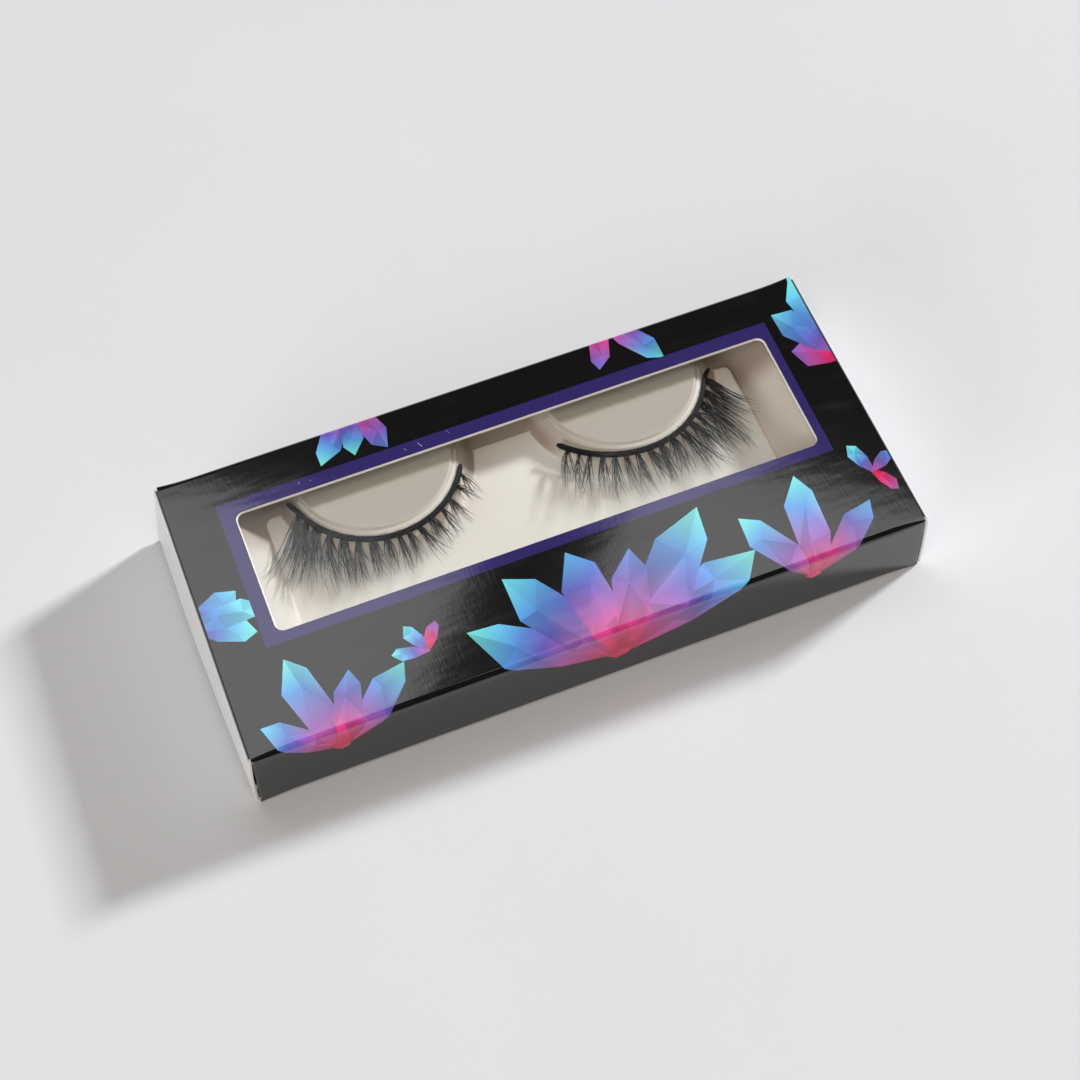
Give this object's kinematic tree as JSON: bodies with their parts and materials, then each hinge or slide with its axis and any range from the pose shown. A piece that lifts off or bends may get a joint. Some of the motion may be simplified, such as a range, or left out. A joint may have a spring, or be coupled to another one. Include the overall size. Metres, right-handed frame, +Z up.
{
  "type": "false eyelash case",
  "caption": "Flat tuck-end paperboard carton with a long film window, hinged end panels and a formed insert that holds a pair of strip lashes.",
  "frame": {"origin": "centre of the underside of the closed carton", "axes": "+X along the carton towards its right end, +Y from the front wall to the back wall, +Z up out of the windowed face"},
  "size_m": [0.1138, 0.0506, 0.0145],
  "materials": {
    "printed_board": "gloss laminated black print with faceted blue to crimson shards",
    "bare_board": "unprinted white board",
    "clear_film": "clear glossy film",
    "formed_insert": "warm white formed sheet, satin",
    "clear_adhesive": "clear tacky strip",
    "lash_band": "black cotton band",
    "lash_hair": "fine black fibre"
  },
  "bodies": {
    "carton": {"top_panel": "printed_board", "front_panel": "printed_board", "base_panel": "printed_board", "back_panel": "printed_board", "glue_flap": "bare_board", "window_film": "clear_film", "insert": "formed_insert", "left_lash_adhesive": "clear_adhesive", "left_lash_band": "lash_band", "left_lash_hairs": "lash_hair", "right_lash_adhesive": "clear_adhesive", "right_lash_band": "lash_band", "right_lash_hairs": "lash_hair"},
    "left_end": {"left_end_panel": "bare_board"},
    "left_tuck": {"left_tuck_flap": "bare_board"},
    "front_left_dust": {"front_left_dust_flap": "printed_board"},
    "back_left_dust": {"back_left_dust_flap": "printed_board"},
    "right_end": {"right_end_panel": "bare_board"},
    "right_tuck": {"right_tuck_flap": "bare_board"},
    "front_right_dust": {"front_right_dust_flap": "printed_board"},
    "back_right_dust": {"back_right_dust_flap": "printed_board"}
  },
  "joints": [
    {"name": "left_end_hinge", "type": "hinge", "parent": "carton", "child": "left_end", "pos_m": [-0.0548, 0, 0.0143], "axis": [0, 1, 0], "range_deg": [0, 135]},
    {"name": "left_tuck_hinge", "type": "hinge", "parent": "left_end", "child": "left_tuck", "pos_m": [-0.05666, 0, 0.00103], "axis": [0, 1, 0], "range_deg": [0, 20.25]},
    {"name": "front_left_dust_hinge", "type": "hinge", "parent": "carton", "child": "front_left_dust", "pos_m": [-0.05435, -0.0251, 0], "axis": [0, 0, 1], "range_deg": [0, 40.5]},
    {"name": "back_left_dust_hinge", "type": "hinge", "parent": "carton", "child": "back_left_dust", "pos_m": [-0.05435, 0.0251, 0], "axis": [0, 0, -1], "range_deg": [0, 40.5]},
    {"name": "right_end_hinge", "type": "hinge", "parent": "carton", "child": "right_end", "pos_m": [0.0548, 0, 0.0143], "axis": [0, -1, 0], "range_deg": [0, 135]},
    {"name": "right_tuck_hinge", "type": "hinge", "parent": "right_end", "child": "right_tuck", "pos_m": [0.05666, 0, 0.00103], "axis": [0, -1, 0], "range_deg": [0, 20.25]},
    {"name": "front_right_dust_hinge", "type": "hinge", "parent": "carton", "child": "front_right_dust", "pos_m": [0.05435, -0.0251, 0], "axis": [0, 0, -1], "range_deg": [0, 40.5]},
    {"name": "back_right_dust_hinge", "type": "hinge", "parent": "carton", "child": "back_right_dust", "pos_m": [0.05435, 0.0251, 0], "axis": [0, 0, 1], "range_deg": [0, 40.5]}
  ],
  "couplings": [
    {"joint": "left_tuck_hinge", "follows": "left_end_hinge", "ratio": 0.15},
    {"joint": "front_left_dust_hinge", "follows": "left_end_hinge", "ratio": 0.3},
    {"joint": "back_left_dust_hinge", "follows": "left_end_hinge", "ratio": 0.3},
    {"joint": "right_tuck_hinge", "follows": "right_end_hinge", "ratio": 0.15},
    {"joint": "front_right_dust_hinge", "follows": "right_end_hinge", "ratio": 0.3},
    {"joint": "back_right_dust_hinge", "follows": "right_end_hinge", "ratio": 0.3}
  ]
}
